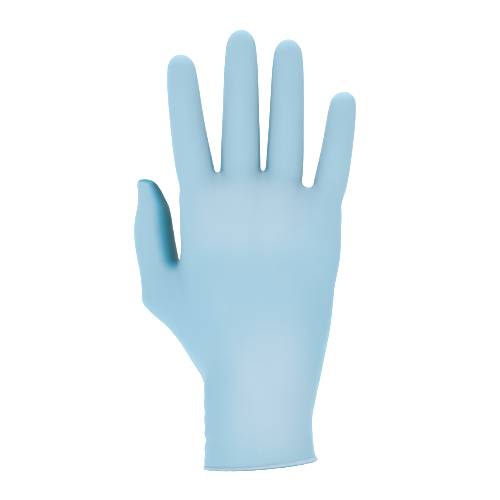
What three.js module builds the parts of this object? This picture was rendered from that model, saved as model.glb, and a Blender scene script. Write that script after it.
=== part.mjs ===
// A dipped nitrile exam glove, in the shape that it has when a hand fills it.
// It is one piece of film: a cuff with a rolled bead, the hand, and five stalls for the fingers.
// Frame: the origin is the middle of the cuff's mouth, +Z runs from the mouth to the fingertips,
// +X to the little finger, and -Y out of the back of the hand. Sizes are in millimetres.
import * as THREE from "three";

// Driving dimensions of the hand and the cuff.
const HAND_LENGTH = 160; // mouth of the cuff to the line of the finger webs
const HAND_BREADTH = 87; // across the knuckles, thumb left out
const HAND_DEPTH = 31; // back of the hand to palm, at the knuckles
const CUFF_BREADTH = 60;
const CUFF_DEPTH = 43;
const MOUTH_RISE = 4.5; // the mouth is higher on the little finger's side by this much
const FILM_WALL = 1;
const BEAD_DIAMETER = 2.8;

// The four fingers' stalls. length runs from the web line to the tip. width is taken halfway, as a
// share of HAND_BREADTH, and depth as a share of HAND_DEPTH. root is the stall's middle at the web
// line as a share of HAND_BREADTH, and foot is how high its own web line is as a share of
// HAND_LENGTH. lean, bow and curl move the stall's middle line, in shares of its length: lean is the
// tip's shift towards the little finger, bow the same halfway, and curl the tip's shift to the palm.
// taper is how much narrower the stall grows by its tip, besides what every stall does.
const INDEX_LENGTH = 66;
const MIDDLE_LENGTH = 79;
const RING_LENGTH = 73.5;
const LITTLE_LENGTH = 53;
const FINGERS = [
  {
    length: INDEX_LENGTH, width: 0.227, depth: 0.55,
    root: -0.394, foot: 0.997, lean: -0.129, bow: -0.018, curl: 0.106, taper: 0.06,
  },
  {
    length: MIDDLE_LENGTH, width: 0.233, depth: 0.57,
    root: -0.116, foot: 1, lean: 0.004, bow: 0.001, curl: 0.076, taper: 0.03,
  },
  {
    length: RING_LENGTH, width: 0.218, depth: 0.54,
    root: 0.158, foot: 1.002, lean: 0.031, bow: 0.005, curl: 0.095, taper: 0,
  },
  {
    length: LITTLE_LENGTH, width: 0.2, depth: 0.48,
    root: 0.441, foot: 0.951, lean: 0.152, bow: 0.017, curl: 0.151, taper: 0.02,
  },
];
const THUMB_LENGTH = 47.5; // its web to its tip
const THUMB_WIDTH = 22; // across, as seen from the back of the hand
const THUMB_DEPTH = 21;
const THUMB_WEB = 0.693; // height of its web, as a share of HAND_LENGTH

// Fillets, where the film bridges the corner between two forms.
const WEB_FILLET = 2.8; // deep in a finger web
const ROOT_FILLET = 8; // the same corner on the back, on the palm and on the hand's sides
const THUMB_FILLET = 6.5; // at the thumb's web
const THUMB_ROOT_FILLET = 16; // at its root
const PAD_FILLET = 16;
const KNUCKLE_FILLET = 9;
const ROOT_FROM = 0.2; // the root fillet sets in this far from the hand's middle, of HAND_DEPTH
const ROOT_FULL = 0.42; // and is full here
const SIDE_FROM = 0.34; // and it sets in this far to the hand's sides, of HAND_BREADTH
const SIDE_FULL = 0.5; // and is full here

// The hand without its stalls, section by section. up is a share of HAND_LENGTH. cuff says how much
// of the section's breadth and depth comes from the cuff's sizes, the rest being the hand's.
// thumbSide and littleSide are shares of the breadth, back and palm shares of the depth, all from
// the middle, and square is the section's exponent: 2 is an ellipse, more is boxier.
const HAND_SECTIONS = [
  { up: -0.1, cuff: 1, thumbSide: 0.5, littleSide: 0.5, back: 0.5, palm: 0.5, square: 2.2 },
  { up: 0, cuff: 1, thumbSide: 0.5, littleSide: 0.508, back: 0.5, palm: 0.5, square: 2.2 },
  { up: 0.08, cuff: 1, thumbSide: 0.5, littleSide: 0.498, back: 0.49, palm: 0.49, square: 2.2 },
  { up: 0.16, cuff: 1, thumbSide: 0.503, littleSide: 0.487, back: 0.475, palm: 0.475, square: 2.2 },
  { up: 0.25, cuff: 0.9, thumbSide: 0.484, littleSide: 0.483, back: 0.46, palm: 0.47, square: 2.25 },
  { up: 0.33, cuff: 0.6, thumbSide: 0.418, littleSide: 0.452, back: 0.475, palm: 0.5, square: 2.3 },
  { up: 0.41, cuff: 0.3, thumbSide: 0.412, littleSide: 0.438, back: 0.495, palm: 0.53, square: 2.4 },
  { up: 0.5, cuff: 0, thumbSide: 0.435, littleSide: 0.438, back: 0.515, palm: 0.54, square: 2.5 },
  { up: 0.6, cuff: 0, thumbSide: 0.475, littleSide: 0.472, back: 0.515, palm: 0.5, square: 2.5 },
  { up: 0.7, cuff: 0, thumbSide: 0.486, littleSide: 0.489, back: 0.5, palm: 0.46, square: 2.5 },
  { up: 0.79, cuff: 0, thumbSide: 0.484, littleSide: 0.487, back: 0.475, palm: 0.45, square: 2.5 },
  { up: 0.86, cuff: 0, thumbSide: 0.482, littleSide: 0.486, back: 0.44, palm: 0.45, square: 2.5 },
  { up: 0.92, cuff: 0, thumbSide: 0.482, littleSide: 0.484, back: 0.39, palm: 0.41, square: 2.5 },
];
const HAND_TOP = 0.086; // height of the rounded end over the last section, as a share of HAND_LENGTH

// How far the web line falls, as a share of HAND_LENGTH, at shares of HAND_BREADTH from the middle.
const WEB_FALL = [
  { across: -0.5, fall: 0.024 },
  { across: -0.27, fall: -0.002 },
  { across: 0.02, fall: 0 },
  { across: 0.3, fall: 0.041 },
  { across: 0.5, fall: 0.09 },
];
const FALL_FROM = 0.66; // share of HAND_LENGTH where the fall sets in

// One stall's sections, as shares of its own length, width and depth. The first lies in the hand.
const FINGER_SECTIONS = [
  { along: -0.34, wide: 0.8, deep: 0.7 },
  { along: -0.22, wide: 0.93, deep: 0.93 },
  { along: -0.1, wide: 1.04, deep: 1.1 },
  { along: 0, wide: 1.09, deep: 1.15 },
  { along: 0.1, wide: 1.09, deep: 1.1 },
  { along: 0.25, wide: 1.06, deep: 1.05 },
  { along: 0.4, wide: 1.02, deep: 1.04 },
  { along: 0.55, wide: 0.99, deep: 0.97 },
  { along: 0.7, wide: 0.955, deep: 0.91 },
  { along: 0.8, wide: 0.91, deep: 0.84 },
  { along: 0.87, wide: 0.86, deep: 0.75 },
];
const FINGER_TIP = 0.13; // height of the rounded tip, as a share of the length
const FINGER_ROOT = 0.1; // and of the rounded root in the hand
const FINGER_SQUARE = 2.15;

// The thumb from its root at the wrist to its tip. along is a share of THUMB_LENGTH from the thumb's
// web. side places the section's inner face, as a share of HAND_BREADTH, and palm its middle, as a
// share of HAND_DEPTH. wide and deep are shares of THUMB_WIDTH and THUMB_DEPTH, and turn is how far
// the section is turned, in degrees.
const THUMB_SECTIONS = [
  { along: -1.12, side: -0.1, palm: 0.2, wide: 0.9, deep: 0.95, turn: 0 },
  { along: -0.94, side: -0.175, palm: 0.21, wide: 1.03, deep: 1.08, turn: 0 },
  { along: -0.75, side: -0.272, palm: 0.23, wide: 1.13, deep: 1.15, turn: 0 },
  { along: -0.57, side: -0.376, palm: 0.26, wide: 1.2, deep: 1.18, turn: -4 },
  { along: -0.44, side: -0.439, palm: 0.29, wide: 1.17, deep: 1.2, turn: -8 },
  { along: -0.3, side: -0.464, palm: 0.35, wide: 1.08, deep: 1.16, turn: -12 },
  { along: -0.1, side: -0.493, palm: 0.43, wide: 1.01, deep: 1.1, turn: -18 },
  { along: 0.08, side: -0.513, palm: 0.5, wide: 1.01, deep: 1.04, turn: -24 },
  { along: 0.25, side: -0.531, palm: 0.57, wide: 1, deep: 1, turn: -28 },
  { along: 0.42, side: -0.547, palm: 0.63, wide: 0.95, deep: 0.96, turn: -30 },
  { along: 0.57, side: -0.562, palm: 0.67, wide: 0.845, deep: 0.92, turn: -30 },
  { along: 0.67, side: -0.577, palm: 0.7, wide: 0.74, deep: 0.86, turn: -30 },
  { along: 0.73, side: -0.593, palm: 0.71, wide: 0.665, deep: 0.8, turn: -30 },
  { along: 0.79, side: -0.609, palm: 0.72, wide: 0.61, deep: 0.73, turn: -30 },
  { along: 0.85, side: -0.624, palm: 0.72, wide: 0.555, deep: 0.64, turn: -30 },
  { along: 0.9, side: -0.64, palm: 0.72, wide: 0.515, deep: 0.56, turn: -30 },
];
const THUMB_TIP = 0.085;
const THUMB_ROOT = 0.25;
const THUMB_SQUARE = 2.5;

// The two swellings of the palm: middle and half sizes as shares of HAND_BREADTH (side, wide),
// HAND_DEPTH (palm, deep) and HAND_LENGTH (up, tall).
const PALM_PADS = [
  { side: -0.27, palm: 0.36, up: 0.56, wide: 0.22, deep: 0.44, tall: 0.25 },
  { side: 0.225, palm: 0.22, up: 0.47, wide: 0.155, deep: 0.44, tall: 0.28 },
];

// The knuckle under each finger, in the same shares. Its side is a share of the finger's root, and
// fall is how far it lies below the finger's foot.
const KNUCKLE = { side: 0.87, fall: 0.16, palm: -0.12, wide: 0.115, deep: 0.29, tall: 0.17 };

// How finely the film is divided.
const STALL_COLUMNS = 4; // across one stall, on the back and again on the palm side
const SIDE_COLUMNS = 5; // over each side of a stall, and over each web
const HAND_ROWS = 12; // from the cuff to the thumb's web
const KNUCKLE_ROWS = 6; // from there to the finger webs
const STALL_ROWS = 10; // from a web to the rounded tip
const TIP_ROWS = 4;
const ROW_CROWDING = 1.4; // 1 spaces a stall's rows evenly, more crowds them towards the web
const BEAD_STEPS = 8;
const RELAX_PASSES = 14;

// How the skin is found: by steps out from a point inside, halved between the last two of them.
const CAST_STEP = 1;
const CAST_HALVINGS = 24;
const SLOPE_STEP = 0.05;
const PULLS = 3;

// A web's bottom line is found by a fan of directions from a point below it.
const WEB_SPREAD = 62; // half the fan, in degrees
const WEB_DROP = 0.45; // height of the web over that point, as a share of HAND_DEPTH
const WEB_SEARCH = 0.06; // how far to each side the line is looked for, as a share of HAND_BREADTH
const WEB_TRIES = 21;
const SPINE_INSET = 0.4; // of the hand's spine from each side, as a share of the hand's depth
const SPLAY_FROM = 0.25; // where the spine starts to open out to the webs, of HAND_LENGTH
const EDGE_DROP = 0.02; // how far the knuckle ring's ends lie under its webs, of HAND_LENGTH

// The value at x of a smooth curve through a table's rows, for one named column.
function curveAt(rows, place, column, x) {
  const last = rows.length - 1;
  const held = Math.min(Math.max(x, rows[0][place]), rows[last][place]);
  let i = 0;
  while (i < last - 1 && rows[i + 1][place] < held) i += 1;
  const slope = (k) => {
    const a = rows[Math.max(k - 1, 0)];
    const b = rows[Math.min(k + 1, last)];
    return (b[column] - a[column]) / (b[place] - a[place]);
  };
  const span = rows[i + 1][place] - rows[i][place];
  const t = (held - rows[i][place]) / span;
  const from = (1 + 2 * t) * (1 - t) ** 2 * rows[i][column] + t * (1 - t) ** 2 * span * slope(i);
  const to = t * t * (3 - 2 * t) * rows[i + 1][column] + t * t * (t - 1) * span * slope(i + 1);
  return from + to + slope(x < held ? 0 : last) * (x - held);
}

// Distance from a point to the skin of a form, negative inside. u, v and w are the point from the
// form's middle, and a, b and c the form's half sizes that way.
function skinDistance(u, v, w, a, b, c, square) {
  const far = Math.max(Math.hypot(u, v, w), 1e-6);
  const power = Math.abs(u / a) ** square + Math.abs(v / b) ** square + Math.abs(w / c) ** square;
  return far * (1 - 1 / Math.max(power ** (1 / square), 1e-6));
}

// The smaller of two distances, with the corner between them filled over a width of fillet.
function joined(a, b, fillet) {
  const near = Math.max(fillet - Math.abs(a - b), 0) / fillet;
  return Math.min(a, b) - (near * near * fillet) / 4;
}

// A form that is stacked from level sections between bottom and top, with rounded ends.
// sectionAt(z) gives { x, y, left, right, back, palm, square, turn }.
function stackDistance(p, z, sectionAt, bottom, top, rootHeight, tipHeight) {
  const level = Math.min(Math.max(z, bottom), top);
  const s = sectionAt(Math.min(Math.max(z, bottom - rootHeight), top + tipHeight));
  let u = p.x - s.x;
  let v = p.y - s.y;
  if (s.turn) {
    const angle = THREE.MathUtils.degToRad(s.turn);
    [u, v] = [u * Math.cos(angle) + v * Math.sin(angle), v * Math.cos(angle) - u * Math.sin(angle)];
  }
  const w = z - level;
  return skinDistance(
    u, v, w,
    u < 0 ? s.left : s.right,
    v < 0 ? s.back : s.palm,
    w < 0 ? rootHeight : tipHeight,
    s.square,
  );
}

function handSection(z) {
  const up = z / HAND_LENGTH;
  const of = (column) => curveAt(HAND_SECTIONS, "up", column, up);
  const breadth = THREE.MathUtils.lerp(HAND_BREADTH, CUFF_BREADTH, of("cuff"));
  const depth = THREE.MathUtils.lerp(HAND_DEPTH, CUFF_DEPTH, of("cuff"));
  return {
    x: 0, y: 0,
    left: of("thumbSide") * breadth, right: of("littleSide") * breadth,
    back: of("back") * depth, palm: of("palm") * depth,
    square: of("square"),
  };
}

function handDistance(p) {
  const top = HAND_SECTIONS.at(-1).up * HAND_LENGTH;
  const fall = curveAt(WEB_FALL, "across", "fall", p.x / HAND_BREADTH) * HAND_LENGTH;
  const share = THREE.MathUtils.smoothstep(p.z, FALL_FROM * HAND_LENGTH, top);
  const below = HAND_SECTIONS[0].up * HAND_LENGTH;
  return stackDistance(p, p.z + fall * share, handSection, below, top, HAND_DEPTH, HAND_TOP * HAND_LENGTH);
}

function fingerMiddle(finger, along) {
  const side = finger.lean * along + finger.bow * 4 * along * Math.max(1 - along, 0);
  return {
    x: finger.root * HAND_BREADTH + side * finger.length,
    y: finger.curl * along * Math.abs(along) * finger.length,
  };
}

function fingerDistance(p, finger) {
  const foot = finger.foot * HAND_LENGTH;
  const section = (z) => {
    const along = (z - foot) / finger.length;
    const of = (column) => curveAt(FINGER_SECTIONS, "along", column, along);
    const wide = (of("wide") * (1 - finger.taper * along) * finger.width * HAND_BREADTH) / 2;
    const deep = (of("deep") * finger.depth * HAND_DEPTH) / 2;
    const middle = fingerMiddle(finger, along);
    return { ...middle, left: wide, right: wide, back: deep, palm: deep, square: FINGER_SQUARE };
  };
  const bottom = foot + FINGER_SECTIONS[0].along * finger.length;
  const top = foot + FINGER_SECTIONS.at(-1).along * finger.length;
  const root = FINGER_ROOT * finger.length;
  return stackDistance(p, p.z, section, bottom, top, root, FINGER_TIP * finger.length);
}

function thumbSection(z) {
  const along = (z - THUMB_WEB * HAND_LENGTH) / THUMB_LENGTH;
  const of = (column) => curveAt(THUMB_SECTIONS, "along", column, along);
  const wide = (of("wide") * THUMB_WIDTH) / 2;
  const deep = (of("deep") * THUMB_DEPTH) / 2;
  return {
    x: of("side") * HAND_BREADTH - wide, y: of("palm") * HAND_DEPTH,
    left: wide, right: wide, back: deep, palm: deep,
    square: THUMB_SQUARE, turn: of("turn"),
  };
}

function thumbDistance(p) {
  const web = THUMB_WEB * HAND_LENGTH;
  const bottom = web + THUMB_SECTIONS[0].along * THUMB_LENGTH;
  const top = web + THUMB_SECTIONS.at(-1).along * THUMB_LENGTH;
  const root = THUMB_ROOT * THUMB_LENGTH;
  return stackDistance(p, p.z, thumbSection, bottom, top, root, THUMB_TIP * THUMB_LENGTH);
}

function padDistance(p, pad) {
  return skinDistance(
    p.x - pad.side * HAND_BREADTH, p.y - pad.palm * HAND_DEPTH, p.z - pad.up * HAND_LENGTH,
    pad.wide * HAND_BREADTH, pad.deep * HAND_DEPTH, pad.tall * HAND_LENGTH, 2,
  );
}

const KNUCKLES = FINGERS.map((finger) => {
  return { ...KNUCKLE, side: finger.root * KNUCKLE.side, up: finger.foot - KNUCKLE.fall };
});

// The fillet between a finger and the hand is wider away from the webs.
function fingerFillet(p) {
  const { smoothstep, lerp } = THREE.MathUtils;
  const over = smoothstep(Math.abs(p.y), ROOT_FROM * HAND_DEPTH, ROOT_FULL * HAND_DEPTH);
  const beside = smoothstep(Math.abs(p.x), SIDE_FROM * HAND_BREADTH, SIDE_FULL * HAND_BREADTH);
  return lerp(ROOT_FILLET, WEB_FILLET, (1 - over) * (1 - beside));
}

// The thumb's widens from its web down to its root.
function thumbFillet(p) {
  const web = THUMB_WEB * HAND_LENGTH;
  const share = THREE.MathUtils.smoothstep(p.z, web + THUMB_SECTIONS[0].along * THUMB_LENGTH, web);
  return THREE.MathUtils.lerp(THUMB_ROOT_FILLET, THUMB_FILLET, share);
}

// Distance from a point to the glove's outer skin.
function gloveDistance(p) {
  let d = handDistance(p);
  for (const pad of PALM_PADS) d = joined(d, padDistance(p, pad), PAD_FILLET);
  for (const knuckle of KNUCKLES) d = joined(d, padDistance(p, knuckle), KNUCKLE_FILLET);
  d = joined(d, thumbDistance(p), thumbFillet(p));
  for (const finger of FINGERS) d = joined(d, fingerDistance(p, finger), fingerFillet(p));
  return d;
}

// Where a line from a point inside the glove first comes out of it.
function castToSkin(from, direction) {
  const at = (t) => from.clone().addScaledVector(direction, t);
  let inside = 0;
  let outside = CAST_STEP;
  while (gloveDistance(at(outside)) < 0) {
    inside = outside;
    outside += CAST_STEP;
  }
  for (let i = 0; i < CAST_HALVINGS; i += 1) {
    const middle = (inside + outside) / 2;
    if (gloveDistance(at(middle)) < 0) inside = middle;
    else outside = middle;
  }
  return at(outside);
}

// How fast the distance to the skin grows along x, y and z.
function skinSlope(p) {
  const h = SLOPE_STEP;
  return new THREE.Vector3(
    gloveDistance(p.clone().setX(p.x + h)) - gloveDistance(p.clone().setX(p.x - h)),
    gloveDistance(p.clone().setY(p.y + h)) - gloveDistance(p.clone().setY(p.y - h)),
    gloveDistance(p.clone().setZ(p.z + h)) - gloveDistance(p.clone().setZ(p.z - h)),
  ).divideScalar(2 * h);
}

// Moves a point along that slope until it lies on the skin.
function pullToSkin(p) {
  for (let i = 0; i < PULLS; i += 1) {
    const slope = skinSlope(p);
    p.addScaledVector(slope, -gloveDistance(p) / Math.max(slope.lengthSq(), 0.1));
  }
}

// The film's vertices and four-sided faces, built up tube by tube.
const film = { points: [], faces: [], tips: [] };
function addPoint(p) {
  film.points.push(p);
  return film.points.length - 1;
}

// A ring round a tube of one or more stalls is held as its four runs: back and palm from the
// thumb's side to the little finger's, with both corners, and left and right from back to palm,
// without them.
function loopOf(ring) {
  return [...ring.back, ...ring.right, ...ring.palm.toReversed(), ...ring.left.toReversed()];
}

// The places round such a ring, in the order of loopOf: the share of the way across, and the
// angle from straight out of the back of the hand, towards the little finger.
function placesOf(stalls) {
  const across = stalls * STALL_COLUMNS;
  const corner = Math.PI / 4;
  const back = Array.from({ length: across + 1 }, (_, j) => {
    const t = (2 * j) / across - 1;
    return { across: j / across, angle: corner * Math.sign(t) * Math.abs(t) ** stalls };
  });
  const side = Array.from({ length: SIDE_COLUMNS - 1 }, (_, k) => {
    return corner + (((k + 1) / SIDE_COLUMNS) * Math.PI) / 2;
  });
  return [
    ...back,
    ...side.map((angle) => ({ across: 1, angle })),
    ...back.toReversed().map((b) => ({ across: b.across, angle: Math.PI - b.angle })),
    ...side.toReversed().map((angle) => ({ across: 0, angle: -angle })),
  ];
}

function ringFrom(loop, stalls) {
  const across = stalls * STALL_COLUMNS + 1;
  const side = SIDE_COLUMNS - 1;
  return {
    back: loop.slice(0, across),
    right: loop.slice(across, across + side),
    palm: loop.slice(across + side, 2 * across + side).toReversed(),
    left: loop.slice(2 * across + side).toReversed(),
  };
}

function stitch(lower, upper) {
  const a = loopOf(lower);
  const b = loopOf(upper);
  a.forEach((_, i) => {
    const next = (i + 1) % a.length;
    film.faces.push([a[i], a[next], b[next], b[i]]);
  });
}

// Rings from a lower one towards an upper one. spine(z, across) is the point in the glove from
// which a place of the ring is cast. heightOf(i, share) is the height of the ring's place i, and
// turnOf(i, share) is added to its angle.
function climb(lower, stalls, shares, spine, heightOf, turnOf = () => 0) {
  let ring = lower;
  for (const share of shares) {
    const loop = placesOf(stalls).map((place, i) => {
      const from = spine(heightOf(i, share), place.across);
      const angle = place.angle + turnOf(i, share);
      return addPoint(castToSkin(from, new THREE.Vector3(Math.sin(angle), -Math.cos(angle), 0)));
    });
    const next = ringFrom(loop, stalls);
    stitch(ring, next);
    ring = next;
  }
  return ring;
}

// The points along the bottom of a web, from back to palm: in each direction of a fan, the nearest
// skin that a small step to either side finds.
function webPoints(x, y, z) {
  const spread = THREE.MathUtils.degToRad(WEB_SPREAD);
  return Array.from({ length: SIDE_COLUMNS + 1 }, (_, k) => {
    const angle = spread * ((2 * k) / SIDE_COLUMNS - 1);
    const direction = new THREE.Vector3(0, Math.sin(angle), Math.cos(angle));
    const found = Array.from({ length: WEB_TRIES }, (__, i) => {
      const side = WEB_SEARCH * HAND_BREADTH * ((2 * i) / (WEB_TRIES - 1) - 1);
      const from = new THREE.Vector3(x + side, y, z - WEB_DROP * HAND_DEPTH);
      const skin = castToSkin(from, direction);
      return { skin, far: gloveDistance(from) < -FILM_WALL ? skin.distanceTo(from) : Infinity };
    });
    return addPoint(found.reduce((a, b) => (b.far < a.far ? b : a)).skin);
  });
}

const shares = (count) => Array.from({ length: count }, (_, i) => (i + 1) / count);

// The breadth that the spine of the hand spans, inside its section's round ends.
function handSpine(z) {
  const s = handSection(z);
  const inset = SPINE_INSET * (s.back + s.palm);
  return { from: -s.left + inset, to: s.right - inset };
}

// Stations where the stalls part, across the hand.
const WEB_SIDES = FINGERS.slice(1).map((finger, i) => {
  const before = FINGERS[i];
  const middle = (before.root + finger.root) / 2 + (before.width - finger.width) / 4;
  return middle * HAND_BREADTH;
});

// The middle of the slit between the thumb and the hand, just over the thumb's web.
function thumbGap() {
  const z = THUMB_WEB * HAND_LENGTH + THUMB_FILLET;
  const thumb = thumbSection(z);
  const hand = handSection(z);
  return (thumb.x + thumb.right - hand.left) / 2;
}
const THUMB_GAP = thumbGap();

function between(stations, across) {
  const place = across * (stations.length - 1);
  const i = Math.min(Math.floor(place), stations.length - 2);
  return THREE.MathUtils.lerp(stations[i], stations[i + 1], place - i);
}

// The point in the hand under the columns of all five stalls, from the cuff up to the thumb's web.
function lowerSpine(z, across) {
  const top = THUMB_WEB * HAND_LENGTH;
  const share = THREE.MathUtils.smoothstep(z, SPLAY_FROM * HAND_LENGTH, top);
  const hand = handSpine(z);
  const thumb = thumbSection(z);
  const low = THREE.MathUtils.lerp(hand.from, hand.to, across);
  const high = between([thumb.x, THUMB_GAP, ...WEB_SIDES, hand.to], across);
  const lean = Math.max(1 - across * (FINGERS.length + 1), 0);
  return new THREE.Vector3(THREE.MathUtils.lerp(low, high, share), thumb.y * lean * share, z);
}

// The same for the four fingers, between the thumb's web and their own.
function upperSpine(z, across) {
  const hand = handSpine(Math.min(z, HAND_SECTIONS.at(-1).up * HAND_LENGTH));
  return new THREE.Vector3(between([hand.from, ...WEB_SIDES, hand.to], across), 0, z);
}

function closeTip(ring, tip) {
  const loop = loopOf(ring);
  const pole = addPoint(tip);
  loop.forEach((_, i) => film.tips.push([loop[i], loop[(i + 1) % loop.length], pole]));
}

// Carries one stall up from its web, and closes its tip.
function raiseStall(base, middleAt, foot, length, straight) {
  const top = foot + straight * length;
  const spine = (z) => {
    const middle = middleAt(z);
    return new THREE.Vector3(middle.x, middle.y, z);
  };
  const places = placesOf(1);
  const starts = loopOf(base).map((number, i) => {
    const p = film.points[number];
    const middle = middleAt(p.z);
    const ahead = Math.atan2(p.x - middle.x, middle.y - p.y) - places[i].angle;
    return { height: p.z, turn: Math.atan2(Math.sin(ahead), Math.cos(ahead)) };
  });
  const heightOf = (i, share) => THREE.MathUtils.lerp(starts[i].height, top, share ** ROW_CROWDING);
  const turnOf = (i, share) => starts[i].turn * (1 - share);
  let ring = climb(base, 1, shares(STALL_ROWS), spine, heightOf, turnOf);
  const from = spine(top);
  for (let k = 1; k < TIP_ROWS; k += 1) {
    const rise = ((k / TIP_ROWS) * Math.PI) / 2;
    const loop = placesOf(1).map((place) => {
      const out = Math.cos(rise);
      const direction = new THREE.Vector3(
        Math.sin(place.angle) * out, -Math.cos(place.angle) * out, Math.sin(rise),
      );
      return addPoint(castToSkin(from, direction));
    });
    const next = ringFrom(loop, 1);
    stitch(ring, next);
    ring = next;
  }
  closeTip(ring, castToSkin(from, new THREE.Vector3(0, 0, 1)));
}

// Divides a ring into one ring for each group of stalls, with a web between neighbours.
function divide(ring, groups, webs) {
  let column = 0;
  return groups.map((stalls, i) => {
    const end = column + stalls * STALL_COLUMNS;
    const made = {
      back: ring.back.slice(column, end + 1),
      palm: ring.palm.slice(column, end + 1),
      left: i === 0 ? ring.left : webs[i - 1].slice(1, -1),
      right: i === groups.length - 1 ? ring.right : webs[i].slice(1, -1),
    };
    column = end;
    return made;
  });
}

// The ring just under some webs: each web's first and last point is one of its corners.
function ringUnder(stalls, groups, webs, spine, height) {
  const loop = placesOf(stalls).map((place) => {
    const from = spine(height(place.across), place.across);
    const direction = new THREE.Vector3(Math.sin(place.angle), -Math.cos(place.angle), 0);
    return castToSkin(from, direction);
  });
  const ring = ringFrom(loop.map(() => -1), stalls);
  const numbers = loop.map((_, i) => i);
  const runs = ringFrom(numbers, stalls);
  let column = 0;
  groups.slice(0, -1).forEach((count, i) => {
    column += count * STALL_COLUMNS;
    ring.back[column] = webs[i][0];
    ring.palm[column] = webs[i].at(-1);
  });
  for (const run of ["back", "palm", "left", "right"]) {
    ring[run] = ring[run].map((known, k) => (known >= 0 ? known : addPoint(loop[runs[run][k]])));
  }
  return ring;
}

// The cuff's first ring lies where the film runs into the bead.
function mouthHeight(x) {
  return MOUTH_RISE * ((0.5 + x / CUFF_BREADTH) ** 2 - 0.25);
}

const firstLoop = placesOf(5).map((place) => {
  const from = lowerSpine(0, place.across);
  const direction = new THREE.Vector3(Math.sin(place.angle), -Math.cos(place.angle), 0);
  const p = castToSkin(from, direction);
  p.z = BEAD_DIAMETER + mouthHeight(p.x);
  return addPoint(p);
});
const mouthRing = ringFrom(firstLoop, 5);

// The thumb's web and the finger webs come first, because the rings below them end in them.
const thumbWebHeight = THUMB_WEB * HAND_LENGTH;
const thumbMiddle = thumbSection(thumbWebHeight);
const thumbWebs = [webPoints(THUMB_GAP, thumbMiddle.y * 0.75, thumbWebHeight)];
const webFallAt = (x) => curveAt(WEB_FALL, "across", "fall", x / HAND_BREADTH) * HAND_LENGTH;
const fingerWebs = WEB_SIDES.map((x) => webPoints(x, 0, HAND_LENGTH - webFallAt(x)));

const cornerHeight = (web) => film.points[web[0]].z;
const thumbRing = ringUnder(5, [1, 4], thumbWebs, lowerSpine, () => cornerHeight(thumbWebs[0]));
const knuckleHeights = [
  cornerHeight(fingerWebs[0]) - EDGE_DROP * HAND_LENGTH,
  ...fingerWebs.map(cornerHeight),
  cornerHeight(fingerWebs.at(-1)) - EDGE_DROP * HAND_LENGTH,
];
const knuckleRing = ringUnder(4, [1, 1, 1, 1], fingerWebs, upperSpine, (across) =>
  between(knuckleHeights, across),
);

// Rings between two that are there already; the last of them is the upper ring itself.
function bridge(lower, upper, stalls, rows, spine) {
  const low = loopOf(lower).map((i) => film.points[i].z);
  const high = loopOf(upper).map((i) => film.points[i].z);
  const heightOf = (i, share) => THREE.MathUtils.lerp(low[i], high[i], share);
  stitch(climb(lower, stalls, shares(rows).slice(0, -1), spine, heightOf), upper);
}

bridge(mouthRing, thumbRing, 5, HAND_ROWS, lowerSpine);
const [thumbBase, palmBase] = divide(thumbRing, [1, 4], thumbWebs);
bridge(palmBase, knuckleRing, 4, KNUCKLE_ROWS, upperSpine);
raiseStall(thumbBase, thumbSection, thumbWebHeight, THUMB_LENGTH, THUMB_SECTIONS.at(-1).along);
divide(knuckleRing, [1, 1, 1, 1], fingerWebs).forEach((base, i) => {
  const finger = FINGERS[i];
  const foot = finger.foot * HAND_LENGTH;
  const middleAt = (z) => fingerMiddle(finger, (z - foot) / finger.length);
  raiseStall(base, middleAt, foot, finger.length, FINGER_SECTIONS.at(-1).along);
});

// Evens out the spacing of the vertices, near ones staying nearer, and keeps them on the skin.
function relax(fixed) {
  const near = film.points.map(() => new Map());
  for (const face of [...film.faces, ...film.tips]) {
    face.forEach((a, i) => {
      const b = face[(i + 1) % face.length];
      const weight = 1 / THREE.MathUtils.clamp(film.points[a].distanceTo(film.points[b]), 2, 8);
      near[a].set(b, weight);
      near[b].set(a, weight);
    });
  }
  for (let pass = 0; pass < RELAX_PASSES; pass += 1) {
    const moved = film.points.map((p, i) => {
      if (fixed.has(i)) return p.clone();
      const mean = new THREE.Vector3();
      let total = 0;
      for (const [k, weight] of near[i]) {
        mean.addScaledVector(film.points[k], weight);
        total += weight;
      }
      return mean.divideScalar(total).lerp(p, 0.5);
    });
    moved.forEach((p, i) => {
      if (!fixed.has(i)) pullToSkin(p);
      film.points[i].copy(p);
    });
  }
}
relax(new Set([...firstLoop, ...thumbWebs.flat(), ...fingerWebs.flat()]));

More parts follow.
